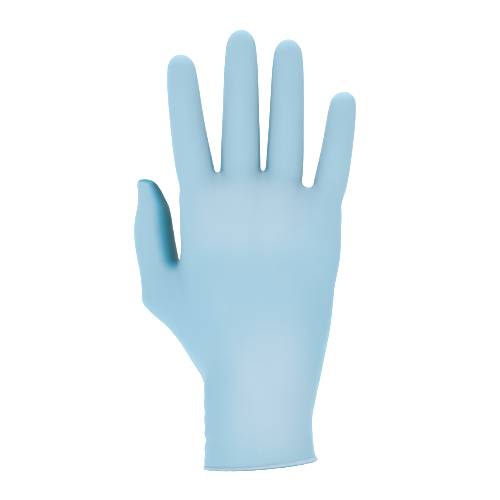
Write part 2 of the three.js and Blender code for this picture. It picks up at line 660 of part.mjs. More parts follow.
// Both faces of the film and the bead, as one closed mesh.
function gloveGeometry() {
  const outer = film.points;
  const triangles = [
    ...film.faces.flatMap(([a, b, c, d]) => [[a, b, c], [a, c, d]]),
    ...film.tips,
  ];
  const inner = outer.map((p) => p.clone().addScaledVector(skinSlope(p).normalize(), -FILM_WALL));

  const points = [...outer, ...inner];
  const faces = [...triangles, ...triangles.map((t) => t.toReversed().map((i) => i + outer.length))];
  const radius = BEAD_DIAMETER / 2;
  const start = Math.acos(-(radius - FILM_WALL) / radius);
  let last = firstLoop;
  const count = firstLoop.length;
  for (let k = 1; k <= BEAD_STEPS; k += 1) {
    const angle = THREE.MathUtils.lerp(start, -Math.PI, k / BEAD_STEPS);
    const ring = firstLoop.map((i, j) => {
      if (k === BEAD_STEPS) return i + outer.length;
      const ahead = outer[firstLoop[(j + 1) % count]];
      const behind = outer[firstLoop[(j + count - 1) % count]];
      const out = new THREE.Vector3(ahead.y - behind.y, behind.x - ahead.x, 0).normalize();
      const p = outer[i].clone().addScaledVector(out, radius - FILM_WALL + radius * Math.cos(angle));
      p.z += -radius * Math.sin(start) + radius * Math.sin(angle);
      return points.push(p) - 1;
    });
    ring.forEach((_, j) => {
      const n = (j + 1) % count;
      faces.push([last[n], last[j], ring[j]], [last[n], ring[j], ring[n]]);
    });
    last = ring;
  }
  for (const i of firstLoop) {
    points[i + outer.length].z = points[i].z - radius * Math.sin(start);
  }
  const made = new THREE.BufferGeometry();
  made.setAttribute("position", new THREE.Float32BufferAttribute(points.flatMap((p) => [...p]), 3));
  made.setIndex(faces.flat());
  return made;
}

const nitrile = new THREE.MeshStandardMaterial({ color: 0x9ecbdf, roughness: 0.55, metalness: 0 });
const glove = new THREE.Mesh(gloveGeometry(), nitrile);
glove.name = "glove";

const object = new THREE.Group();
object.add(glove);
export default object;
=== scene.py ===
"""Nitrile exam glove: the dipped film, the rolled bead at its mouth, and a small studio.

The frame is the part's own: the origin is the middle of the cuff's mouth, +Z runs to the
fingertips, +X to the little finger and -Y out of the back of the hand. Lengths are in metres.
"""
import math
from functools import partial

import bpy
import numpy as np
from bpy.props import FloatProperty, FloatVectorProperty, PointerProperty
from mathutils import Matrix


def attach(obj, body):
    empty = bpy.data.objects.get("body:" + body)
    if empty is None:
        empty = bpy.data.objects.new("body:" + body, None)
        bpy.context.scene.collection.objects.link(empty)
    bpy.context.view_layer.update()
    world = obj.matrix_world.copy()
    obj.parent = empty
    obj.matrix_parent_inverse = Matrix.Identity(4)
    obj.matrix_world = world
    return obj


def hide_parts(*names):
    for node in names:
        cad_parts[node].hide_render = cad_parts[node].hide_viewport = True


bl_info = {
    "name": "Nitrile Exam Glove",
    "version": (1, 0, 0),
    "blender": (4, 5, 0),
    "location": "3D View > Sidebar > Glove",
    "description": "Builds a dipped exam glove in its worn form, with its rolled bead and a studio",
    "category": "Add Mesh",
}

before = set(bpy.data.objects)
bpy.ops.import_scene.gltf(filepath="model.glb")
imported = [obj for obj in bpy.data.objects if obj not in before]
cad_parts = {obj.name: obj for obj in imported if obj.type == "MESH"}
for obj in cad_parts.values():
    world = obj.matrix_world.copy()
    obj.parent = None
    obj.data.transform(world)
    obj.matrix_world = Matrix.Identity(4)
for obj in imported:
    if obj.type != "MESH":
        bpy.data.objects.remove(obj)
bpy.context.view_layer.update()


class Sections:
    """A table of sections, read anywhere by smooth curves through its rows.

    Between two rows each column follows a cubic, whose slope at a row is that of the line from the
    row before it to the row after it. Past the table it runs straight on.
    """

    def __init__(self, columns, rows):
        grid = np.array(rows, dtype=float).T
        self.names = columns.split()[1:]
        self.place = grid[0]
        self.ends = grid[0, [0, -1]]
        self.values = grid[1:]
        rank = np.arange(len(self.place))
        before = np.maximum(rank - 1, 0)
        after = np.minimum(rank + 1, rank[-1])
        rise = self.values[:, after] - self.values[:, before]
        self.slopes = rise / (self.place[after] - self.place[before])

    def at(self, x):
        """Every column at the places x, as one array under each column's name."""
        held = np.clip(x, *self.ends)
        i = np.clip(np.searchsorted(self.place, held, side="right") - 1, 0, len(self.place) - 2)
        span = self.place[i + 1] - self.place[i]
        t = (held - self.place[i]) / span
        start = (1 + 2 * t) * self.values[:, i] + t * span * self.slopes[:, i]
        end = (3 - 2 * t) * self.values[:, i + 1] + (t - 1) * span * self.slopes[:, i + 1]
        past = self.slopes[:, np.where(x < held, 0, -1)] * (x - held)
        return dict(zip(self.names, (1 - t) ** 2 * start + t * t * end + past))


# The hand without its stalls. up is a share of the hand's length. cuff says how much of the
# section's breadth and depth comes from the cuff's sizes, the rest being the hand's. The sides are
# shares of the breadth, back and palm of the depth, and square is the section's exponent.
HAND_SECTIONS = Sections("up cuff thumb_side little_side back palm square", [
    (-0.1, 1, 0.5, 0.5, 0.5, 0.5, 2.2),
    (0, 1, 0.5, 0.508, 0.5, 0.5, 2.2),
    (0.08, 1, 0.5, 0.498, 0.49, 0.49, 2.2),
    (0.16, 1, 0.503, 0.487, 0.475, 0.475, 2.2),
    (0.25, 0.9, 0.484, 0.483, 0.46, 0.47, 2.25),
    (0.33, 0.6, 0.418, 0.452, 0.475, 0.5, 2.3),
    (0.41, 0.3, 0.412, 0.438, 0.495, 0.53, 2.4),
    (0.5, 0, 0.435, 0.438, 0.515, 0.54, 2.5),
    (0.6, 0, 0.475, 0.472, 0.515, 0.5, 2.5),
    (0.7, 0, 0.486, 0.489, 0.5, 0.46, 2.5),
    (0.79, 0, 0.484, 0.487, 0.475, 0.45, 2.5),
    (0.86, 0, 0.482, 0.486, 0.44, 0.45, 2.5),
    (0.92, 0, 0.482, 0.484, 0.39, 0.41, 2.5),
])
HAND_TOP = 0.086  # height of the rounded end over the last section, as a share of the length

# How far the line of the webs falls towards the hand's sides, in shares of its length.
WEB_FALL = Sections("across fall", [(-0.5, 0.024), (-0.27, -0.002), (0.02, 0), (0.3, 0.041), (0.5, 0.09)])
FALL_FROM = 0.66  # share of the hand's length where the fall sets in

# Each finger: width is a share of the hand's breadth and depth of its depth. root is the place of
# its middle across the hand, and foot the height of its web. lean and bow shift it sideways, and
# curl towards the palm, in shares of its own length. taper is how much narrower it grows by its tip,
# besides what every finger does.
FINGERS = [
    dict(zip("name width depth root foot lean bow curl taper".split(), row))
    for row in [
        ("index", 0.227, 0.55, -0.394, 0.997, -0.129, -0.018, 0.106, 0.06),
        ("middle", 0.233, 0.57, -0.116, 1, 0.004, 0.001, 0.076, 0.03),
        ("ring", 0.218, 0.54, 0.158, 1.002, 0.031, 0.005, 0.095, 0),
        ("little", 0.2, 0.48, 0.441, 0.951, 0.152, 0.017, 0.151, 0.02),
    ]
]
FINGER_SECTIONS = Sections("along wide deep", [
    (-0.34, 0.8, 0.7),
    (-0.22, 0.93, 0.93),
    (-0.1, 1.04, 1.1),
    (0, 1.09, 1.15),
    (0.1, 1.09, 1.1),
    (0.25, 1.06, 1.05),
    (0.4, 1.02, 1.04),
    (0.55, 0.99, 0.97),
    (0.7, 0.955, 0.91),
    (0.8, 0.91, 0.84),
    (0.87, 0.86, 0.75),
])
FINGER_TIP = 0.13
FINGER_ROOT = 0.1
FINGER_SQUARE = 2.15

# The thumb from its root at the wrist to its tip. side places its inner face, as a share of the
# hand's breadth, and palm its middle, of the hand's depth. turn is in degrees.
THUMB_SECTIONS = Sections("along side palm wide deep turn", [
    (-1.12, -0.1, 0.2, 0.9, 0.95, 0),
    (-0.94, -0.175, 0.21, 1.03, 1.08, 0),
    (-0.75, -0.272, 0.23, 1.13, 1.15, 0),
    (-0.57, -0.376, 0.26, 1.2, 1.18, -4),
    (-0.44, -0.439, 0.29, 1.17, 1.2, -8),
    (-0.3, -0.464, 0.35, 1.08, 1.16, -12),
    (-0.1, -0.493, 0.43, 1.01, 1.1, -18),
    (0.08, -0.513, 0.5, 1.01, 1.04, -24),
    (0.25, -0.531, 0.57, 1, 1, -28),
    (0.42, -0.547, 0.63, 0.95, 0.96, -30),
    (0.57, -0.562, 0.67, 0.845, 0.92, -30),
    (0.67, -0.577, 0.7, 0.74, 0.86, -30),
    (0.73, -0.593, 0.71, 0.665, 0.8, -30),
    (0.79, -0.609, 0.72, 0.61, 0.73, -30),
    (0.85, -0.624, 0.72, 0.555, 0.64, -30),
    (0.9, -0.64, 0.72, 0.515, 0.56, -30),
])
THUMB_WEB = 0.693
THUMB_TIP = 0.085
THUMB_ROOT = 0.25
THUMB_SQUARE = 2.5

# Swellings: the palm's two pads, and the knuckle under each finger. side and wide are shares of the
# hand's breadth, palm and deep of its depth, up and tall of its length.
PALM_PADS = [
    dict(side=-0.27, palm=0.36, up=0.56, wide=0.22, deep=0.44, tall=0.25),
    dict(side=0.225, palm=0.22, up=0.47, wide=0.155, deep=0.44, tall=0.28),
]
KNUCKLE = dict(palm=-0.12, wide=0.115, deep=0.29, tall=0.17)
KNUCKLE_SIDE = 0.87  # share of the finger's root
KNUCKLE_FALL = 0.16  # below the finger's foot

# Fillets, where the film bridges the corner between two forms.
WEB_FILLET = 0.0028  # deep in a finger web
ROOT_FILLET = 0.008  # the same corner on the back, on the palm and on the hand's sides
THUMB_FILLET = 0.0065  # at the thumb's web
THUMB_ROOT_FILLET = 0.016  # at its root
PAD_FILLET = 0.016
KNUCKLE_FILLET = 0.009
ROOT_OVER = (0.2, 0.42)  # the root fillet sets in and is full this far to back and palm, of the depth
ROOT_BESIDE = (0.34, 0.5)  # and this far to the sides, of the breadth

# The coarse net that the film is grown from, before it is divided finer.
STALL_COLUMNS = 4
SIDE_COLUMNS = 5
HAND_ROWS = 18
KNUCKLE_ROWS = 8
STALL_ROWS = 14
TIP_ROWS = 4
OPEN_TIP_ROWS = 2  # rounded rows under the patch that closes a tip
ROW_CROWDING = 1.4  # a stall's rows crowd towards its root
RELAX_PASSES = 16
FINE_LEVELS = 2
FINE_PASSES = 4
COARSE_SPAN = 0.002  # shortest distance between neighbours that counts while they even out
FINE_SPAN = 0.0005
WEB_SPREAD = math.radians(62)  # half the fan that finds a web's bottom
WEB_DROP = 0.45  # how far under the web it starts, of the hand's depth
WEB_SEARCH = 0.06  # and how far to either side, of its breadth
WEB_TRIES = 21
THUMB_WEB_PALM = 0.75  # of the thumb's way to the palm
SPINE_INSET = 0.4  # of the hand's depth, in from its sides
SPLAY_FROM = 0.25  # of the hand's length
EDGE_DROP = 0.02  # how much lower the webs' line starts at the hand's edges

# Small folds on the cuff's thumb side: how high over the mouth, how deep and how tall, in metres.
CUFF_FOLDS = [
    (0.0055, 0.0004, 0.0014),
    (0.0132, 0.0010, 0.0021),
    (0.0205, 0.0005, 0.0018),
    (0.0285, 0.0004, 0.0020),
    (0.0370, 0.0003, 0.0022),
]
FOLD_SPREAD = 0.42  # how far each runs round the cuff, in radians
FOLD_SLANT = 0.004
FLUTES = 23  # shallow gathers over the bead, all round
FLUTE_DEPTH = 0.00016
FLUTE_TALL = 0.012
FLUTE_DRIFT = (2, 3)  # how much their spacing wanders, and how often round the cuff
FLARE = 0.0010  # how far the film flares out onto the bead, on the little finger's side
FLARE_TALL = 0.0030
FLARE_GROWS = (-0.5, 0.45)  # across the cuff, in shares of its breadth
RIM_CALM = 0.0024  # the folds and gathers die away over this height to the rim

# The bead.
BEAD_GROWS = (-0.5, 0.35)  # across the cuff, in shares of its breadth
BEAD_STEPS = 360
BEAD_SIDES = 20
BEAD_TURN = np.linspace(0, 2 * np.pi, BEAD_SIDES, endpoint=False)
BEAD_WAVES = [(31, 1, 0), (19, -2, 1), (47, 0, 2)]  # waves round the mouth, round the roll, and a shift
BEAD_UNEVEN = 0.05  # how uneven the roll is, as a share of its radius
PATH_STEPS = 1440

# Where the film's colour changes, and where shade and light are painted into it. A pair says where a change
# sets in and where it is full.
PROBE = 0.008  # how far in front of the skin the room is felt
# how much shade is painted deep in the webs, where other skin lies close in front
WEB_PAINTED_SHADE = 0.34
WEB_CLOSED = (0.45, 1.0)  # how much of that room is taken
SIDE_PAINTED_SHADE = 0.06  # painted shade along both sides of the cuff and the hand, partly the film's own deeper colour there
SIDE_ACROSS = (0.35, 0.9)  # in half breadths from the middle
SIDE_ENDS = (0.6, 0.85)  # up the hand, in shares of its length
# painted shade over the thumb's inner side, turned towards the palm, and along its end
THUMB_SKIN = (0.0012, 0.004)  # how far a point on the thumb may lie from the thumb's own form
THUMB_RISE = (-0.007, 0.003)  # over the thumb's web
THUMB_INNER = (-0.1, 0.95)  # across the thumb, in half widths from its middle
THUMB_PAST = (1.05, 1.3)  # the same, where the thumb is over
THUMB_END = (0.4, 0.85)  # how far the skin faces upwards
THUMB_END_PAINTED_SHADE = 0.75
BEAD_UNDER = (0.35, 0.8)  # how far the roll's skin faces downwards, where shadow is painted under it
BEAD_FACE = (0.0, 0.5)  # and where its face is no longer painted pale as painted light
STRETCHES = [
    dict(side=-0.05, up=0.85, wide=0.36, tall=0.12, much=0.75),
    dict(side=0.08, up=0.27, wide=0.24, tall=0.21, much=1.0),
]

# The film's material. A noise's scale is in periods per metre.
CLOUD = dict(scale=70.0, stretch=(1, 1, 0.6), detail=3.0)
PATCHES = dict(scale=160.0, detail=3.0)
RIPPLE = dict(scale=110.0, stretch=(1, 1, 0.45))
DRIPS = dict(scale=420.0, stretch=(1, 1, 0.12))
GRAIN = dict(scale=2600.0)
NOISE_SPAN = (0.3, 0.7)  # about the middle half of a noise's values
CLOUD_TONE = 0.14
SMOOTHER, ROUGHER = 0.05, 0.06
DRIPS_SHARE = 0.22
GRAIN_SHARE = 0.08
BUMP = dict(Strength=0.35, Distance=0.0006)
SPECULAR = 0.2
REFRACTION = 1.4

# The studio, in metres. A lamp without an aim is turned to the middle of the picture.
SWEEP_FRONT = -4.0
SWEEP_REACH = 1.2
SWEEP_RADIUS = 0.8
SWEEP_STEPS = 17
SWEEP_TOP = 3.0
SWEEP_HALF = 4.0
PAPER_ROUGHNESS = 0.9
LAMPS = [
    dict(name="key", place=(-0.25, -1.8, 0.8), aim=None, size=(1.0, 1.0)),
    dict(name="rim", place=(-1.3, 0.9, 0.5), aim=None, size=(0.6, 1.2)),
    dict(name="back", place=(0.0, 0.5, 1.6), aim=(0.0, 1.9, 0.2), size=(2.4, 0.6)),
]
CAMERA_SIGHT = 20

# Steps of the searches on the field.
LEAST_STEEP = 0.1
CAST_STEP = 0.001
CAST_HALVINGS = 22
SLOPE_STEP = 0.00005
PULLS = 3


def length(name, description, default):
    """A length for a property group."""
    return FloatProperty(
        name=name, description=description, default=default, min=0.0, precision=4,
        subtype="DISTANCE", unit="LENGTH",
    )


def power(name, description, default):
    """A lamp's power for a property group."""
    return FloatProperty(name=name, description=description, default=default, min=0.0, unit="POWER")


def colour(name, description, default):
    """A colour for a property group."""
    return FloatVectorProperty(
        name=name, description=description, default=default, min=0.0, max=1.0, size=3, subtype="COLOR",
    )


class GloveSizes(bpy.types.PropertyGroup):
    """The sizes of the glove's hand, stalls, cuff, film and bead."""

    hand_length: length("Hand length", "Mouth of the cuff to the line of the finger webs", 0.160)
    hand_breadth: length("Hand breadth", "Across the knuckles, without the thumb", 0.087)
    hand_depth: length("Hand depth", "Back of the hand to palm, at the knuckles", 0.031)
    cuff_breadth: length("Cuff breadth", "Across the cuff, seen from the back of the hand", 0.060)
    cuff_depth: length("Cuff depth", "From the cuff's back to its palm side", 0.043)
    mouth_rise: length("Mouth rise", "How much higher the mouth is on the little finger's side", 0.0045)
    index_length: length("Index length", "Web line to tip", 0.066)
    middle_length: length("Middle length", "Web line to tip", 0.079)
    ring_length: length("Ring length", "Web line to tip", 0.0735)
    little_length: length("Little length", "Web line to tip", 0.053)
    thumb_length: length("Thumb length", "The thumb's web to its tip", 0.0475)
    thumb_width: length("Thumb width", "Across, seen from the back of the hand", 0.022)
    thumb_depth: length("Thumb depth", "Across, the other way", 0.021)
    film: length("Film", "Thickness of the dipped film", 0.00035)
    seat: length("Bead seat", "How far the bead's inner side lies inside the film's outer face", 0.001)
    bead: length("Bead", "Diameter of the rolled bead", 0.0028)
    thin_bead: length("Thin bead", "The same on the thumb's side, where the roll is tighter", 0.0017)


class GloveFinish(bpy.types.PropertyGroup):
    """The colours and the gloss of the film, among them those that paint shade and light into it."""

    # pale film where it is stretched; the bead's face is painted in it too, as painted light
    stretched: colour("Stretched film", "Where the film is drawn thin", (0.318, 0.430, 0.500))
    plain: colour("Film", "The film's usual colour", (0.252, 0.402, 0.486))
    # painted shade: the colour painted where the film lies in shade, in the webs, over the thumb's inner side
    # and under the bead
    slack: colour("Slack film", "Where the film is slack and deep in colour", (0.055, 0.275, 0.385))
    # the darkest painted shade
    deep: colour("Deep film", "Where it is slackest", (0.003, 0.085, 0.112))
    roughness: FloatProperty(
        name="Roughness", description="Of the satin skin", default=0.5, min=0.0, max=1.0, subtype="FACTOR",
    )


class StudioSettings(bpy.types.PropertyGroup):
    """The floor, the lights and the camera."""

    drop: length("Floor drop", "How far the floor lies below the glove's mouth", 0.03)
    distance: length("Camera distance", "Camera to the middle of the glove", 1.6)
    view_width: length("View width", "What the picture spans at the glove", 0.2721)
    aim_x: FloatProperty(name="Aim X", description="Middle of the picture", default=-0.0049, unit="LENGTH")
    aim_z: FloatProperty(name="Aim Z", description="Middle of the picture", default=0.11835, unit="LENGTH")
    key: power("Key light", "The light from the front", 16.0)
    rim: power("Rim light", "The light from behind", 1.5)
    back: power("Back light", "The light on the paper", 60.0)
    sky: FloatProperty(name="Room light", description="Strength of the even light all round", default=0.85)
    paper: colour("Paper", "Colour of the floor and the backdrop", (0.93, 0.94, 0.95))


def skin_distance(offset, half, square):
    """Distance from a rounded form's skin, negative inside.

    offset is the way from the form's middle. The distance along it to the skin of the
    superellipsoid with those half sizes and that exponent is taken off its length.
    """
    far = np.maximum(np.linalg.norm(offset, axis=-1), 1e-9)
    power = np.sum(np.abs(offset / half) ** np.asarray(square)[..., None], axis=-1)
    return far * (1 - 1 / np.maximum(power ** (1 / np.asarray(square)), 1e-6))


def joined(a, b, fillet):
    """The smaller of two distances, with the corner between them filled over a width of fillet."""
    near = np.maximum(fillet - np.abs(a - b), 0) / fillet
    return np.minimum(a, b) - near * near * fillet / 4


def stack_distance(points, level, section, ends, heights):
    """Distance from a form stacked from level sections, with a half ellipsoid at each end.

    level is each point's height, ends are the lowest and highest sections' heights, and heights
    are those of the two rounded ends.
    """
    held = np.clip(level, *ends)
    s = section(np.clip(level, ends[0] - heights[0], ends[1] + heights[1]))
    u, v, w = points[..., 0] - s["x"], points[..., 1] - s["y"], level - held
    turn = np.radians(s["turn"])
    u, v = u * np.cos(turn) + v * np.sin(turn), v * np.cos(turn) - u * np.sin(turn)
    half = np.stack([
        np.where(u < 0, s["left"], s["right"]),
        np.where(v < 0, s["back"], s["palm"]),
        np.where(w < 0, *heights),
    ], axis=-1)
    return skin_distance(np.stack([u, v, w], axis=-1), half, s["square"])


def smooth_step(x, low, high):
    """0 below low, 1 above high, and 3t^2 - 2t^3 between."""
    t = np.clip((x - low) / (high - low), 0, 1)
    return t * t * (3 - 2 * t)


class Form:
    """The glove's outer skin as a field: a distance that is negative inside it."""

    def __init__(self, sizes):
        self.sizes = sizes
        self.size = np.array([sizes.hand_breadth, sizes.hand_depth, sizes.hand_length])
        self.thumb_web = THUMB_WEB * sizes.hand_length
        self.fingers = [dict(finger, length=getattr(sizes, finger["name"] + "_length")) for finger in FINGERS]
        self.swellings = [(pad, PAD_FILLET) for pad in PALM_PADS]
        for finger in FINGERS:
            knuckle = dict(KNUCKLE, side=finger["root"] * KNUCKLE_SIDE, up=finger["foot"] - KNUCKLE_FALL)
            self.swellings.append((knuckle, KNUCKLE_FILLET))

    def hand_section(self, z):
        """The hand's section at heights z: its half sizes left, right, to the back and to the palm."""
        breadth, depth, tall = self.size
        s = HAND_SECTIONS.at(z / tall)
        wide = breadth + (self.sizes.cuff_breadth - breadth) * s["cuff"]
        deep = depth + (self.sizes.cuff_depth - depth) * s["cuff"]
        return dict(
            x=0, y=0, turn=0, square=s["square"],
            left=s["thumb_side"] * wide, right=s["little_side"] * wide,
            back=s["back"] * deep, palm=s["palm"] * deep,
        )

    def web_fall(self, x):
        """How much lower the line of the webs lies at x."""
        return WEB_FALL.at(x / self.size[0])["fall"] * self.size[2]

    def hand(self, p):
        """Distance from the hand without its stalls: a stack whose top falls with the webs' line."""
        tall = self.size[2]
        ends = HAND_SECTIONS.ends * tall
        fall = self.web_fall(p[..., 0]) * smooth_step(p[..., 2], FALL_FROM * tall, ends[1])
        heights = (self.size[1], HAND_TOP * tall)
        return stack_distance(p, p[..., 2] + fall, self.hand_section, ends, heights)

    def finger_middle(self, finger, z):
        """The middle line: a lean plus a bowed parabola to the side, and a parabola to the palm."""
        along = (z - finger["foot"] * self.size[2]) / finger["length"]
        side = finger["lean"] * along + finger["bow"] * 4 * along * np.maximum(1 - along, 0)
        x = finger["root"] * self.size[0] + side * finger["length"]
        y = finger["curl"] * along * np.abs(along) * finger["length"]
        return x, y

    def finger(self, p, finger):
        """Distance from a finger: a stack of sections on its middle line."""
        foot = finger["foot"] * self.size[2]

        def section(z):
            along = (z - foot) / finger["length"]
            s = FINGER_SECTIONS.at(along)
            wide = s["wide"] * (1 - finger["taper"] * along) * finger["width"] * self.size[0] / 2
            deep = s["deep"] * finger["depth"] * self.size[1] / 2
            x, y = self.finger_middle(finger, z)
            return dict(x=x, y=y, turn=0, square=FINGER_SQUARE, left=wide, right=wide, back=deep, palm=deep)

        tall = finger["length"]
        ends = foot + FINGER_SECTIONS.ends * tall
        return stack_distance(p, p[..., 2], section, ends, (FINGER_ROOT * tall, FINGER_TIP * tall))

    def thumb_section(self, z):
        """The thumb's section at heights z, turned round its own middle."""
        sizes = self.sizes
        s = THUMB_SECTIONS.at((z - self.thumb_web) / sizes.thumb_length)
        wide = s["wide"] * sizes.thumb_width / 2
        deep = s["deep"] * sizes.thumb_depth / 2
        return dict(
            x=s["side"] * self.size[0] - wide, y=s["palm"] * self.size[1],
            turn=s["turn"], square=THUMB_SQUARE, left=wide, right=wide, back=deep, palm=deep,
        )

    def thumb(self, p):
        """Distance from the thumb: a stack of its sections."""
        tall = self.sizes.thumb_length
        ends = self.thumb_web + THUMB_SECTIONS.ends * tall
        return stack_distance(p, p[..., 2], self.thumb_section, ends, (THUMB_ROOT * tall, THUMB_TIP * tall))

    def swelling(self, p, pad):
        """Distance from a pad or a knuckle: an ellipsoid."""
        middle = np.array([pad["side"], pad["palm"], pad["up"]]) * self.size
        half = np.array([pad["wide"], pad["deep"], pad["tall"]]) * self.size
        return skin_distance(p - middle, half, 2.0)

    def thumb_fillet(self, p):
        """The fillet between the thumb and the hand: it widens from the web down to the root."""
        root = self.thumb_web + THUMB_SECTIONS.ends[0] * self.sizes.thumb_length
        up = smooth_step(p[..., 2], root, self.thumb_web)
        return THUMB_ROOT_FILLET + (THUMB_FILLET - THUMB_ROOT_FILLET) * up

    def finger_fillet(self, p):
        """The fillet between a finger and the hand: it is wider away from the webs."""
        over = smooth_step(np.abs(p[..., 1]) / self.size[1], *ROOT_OVER)
        beside = smooth_step(np.abs(p[..., 0]) / self.size[0], *ROOT_BESIDE)
        return ROOT_FILLET + (WEB_FILLET - ROOT_FILLET) * (1 - over) * (1 - beside)

    def distance(self, p):
        """The hand, its swellings, the thumb and the fingers, joined one after the other."""
        d = self.hand(p)
        for pad, fillet in self.swellings:
            d = joined(d, self.swelling(p, pad), fillet)
        d = joined(d, self.thumb(p), self.thumb_fillet(p))
        fillet = self.finger_fillet(p)
        for finger in self.fingers:
            d = joined(d, self.finger(p, finger), fillet)
        return d

    def slope(self, p):
        """How fast the distance grows along x, y and z, by central differences."""
        steps = np.eye(3) * SLOPE_STEP
        return np.stack([self.distance(p + s) - self.distance(p - s) for s in steps], -1) / (2 * SLOPE_STEP)

    def pull(self, p, times=PULLS):
        """Moves points along the slope onto the skin, by Newton's steps."""
        for _ in range(times):
            slope = self.slope(p)
            steep = np.maximum(np.sum(slope * slope, axis=-1), LEAST_STEEP)
            p = p - slope * (self.distance(p) / steep)[..., None]
        return p

    def cast(self, start, direction):
        """Where lines from points inside first come out: steps outwards, then halvings."""
        start, direction = np.broadcast_arrays(start, direction)
        outside = np.full(start.shape[:-1], CAST_STEP)

        def beyond(t):
            return self.distance(start + direction * t[..., None]) >= 0

        out = beyond(outside)
        while not out.all():
            outside = np.where(out, outside, outside + CAST_STEP)
            out = out | beyond(outside)
        inside = outside - CAST_STEP
        for _ in range(CAST_HALVINGS):
            middle = (inside + outside) / 2
            out = beyond(middle)
            inside, outside = np.where(out, inside, middle), np.where(out, middle, outside)
        return start + direction * outside[..., None]


def level_direction(angle):
    """The level direction at an angle from straight out of the back of the hand."""
    return np.stack([np.sin(angle), -np.cos(angle), np.zeros_like(angle)], axis=-1)


def loop_of(ring):
    """A ring's point numbers all the way round, from its four runs."""
    return np.concatenate([ring["back"], ring["right"], ring["palm"][::-1], ring["left"][::-1]])


def ring_from(loop, stalls):
    """A ring's four runs, from its point numbers all the way round."""
    across = stalls * STALL_COLUMNS + 1
    side = SIDE_COLUMNS - 1
    back, right, palm, left = np.split(loop, [across, across + side, 2 * across + side])
    return dict(back=back, right=right, palm=palm[::-1], left=left[::-1])


def places_of(stalls):
    """The places round a ring of one or more stalls, in the order of loop_of.

    The first array is the share of the way across. The second is the direction's angle: a quarter
    turn over the back, crowded to its corners where there are more stalls, and as much over each
    side and the palm.
    """
    across = np.linspace(0, 1, stalls * STALL_COLUMNS + 1)
    t = 2 * across - 1
    back = np.pi / 4 * np.sign(t) * np.abs(t) ** stalls
    side = np.pi / 4 + np.arange(1, SIDE_COLUMNS) / SIDE_COLUMNS * np.pi / 2
    ones = np.ones(len(side))
    return (
        np.concatenate([across, ones, across[::-1], 0 * ones]),
        np.concatenate([back, side, np.pi - back[::-1], -side[::-1]]),
    )


